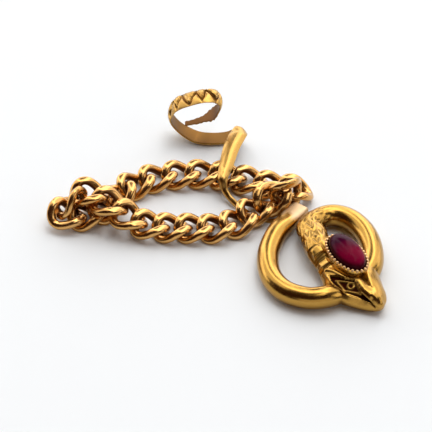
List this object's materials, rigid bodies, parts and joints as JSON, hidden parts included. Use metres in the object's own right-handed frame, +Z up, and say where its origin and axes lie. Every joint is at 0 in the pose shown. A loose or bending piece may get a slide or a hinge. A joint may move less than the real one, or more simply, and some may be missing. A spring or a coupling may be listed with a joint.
{
  "type": "snake ring",
  "caption": "Finger ring with a coiled snake, an oval cabochon set on its head, a curb chain for the finger and a loose, curled tail band.",
  "frame": {"origin": "bottom centre of the bounding box, on the table the ring lies on", "axes": "+X along the chain towards the snake's head, to the right in the picture; +Y away from the camera; +Z up from the table"},
  "size_m": [0.0332, 0.0278, 0.0059],
  "materials": {
    "gold": "polished yellow gold, worn, with dark hollows",
    "ruby": "polished dark red cabochon"
  },
  "bodies": {
    "root": {"snake": "gold", "ruby": "ruby", "link_01": "gold", "link_02": "gold", "link_03": "gold", "link_04": "gold", "link_05": "gold", "link_06": "gold", "link_07": "gold", "link_08": "gold", "link_09": "gold", "link_10": "gold", "link_11": "gold", "link_12": "gold", "link_13": "gold", "link_14": "gold", "link_15": "gold", "link_16": "gold", "link_17": "gold", "link_18": "gold", "link_19": "gold", "link_20": "gold", "link_21": "gold", "link_22": "gold", "link_23": "gold", "link_24": "gold"}
  },
  "joints": []
}
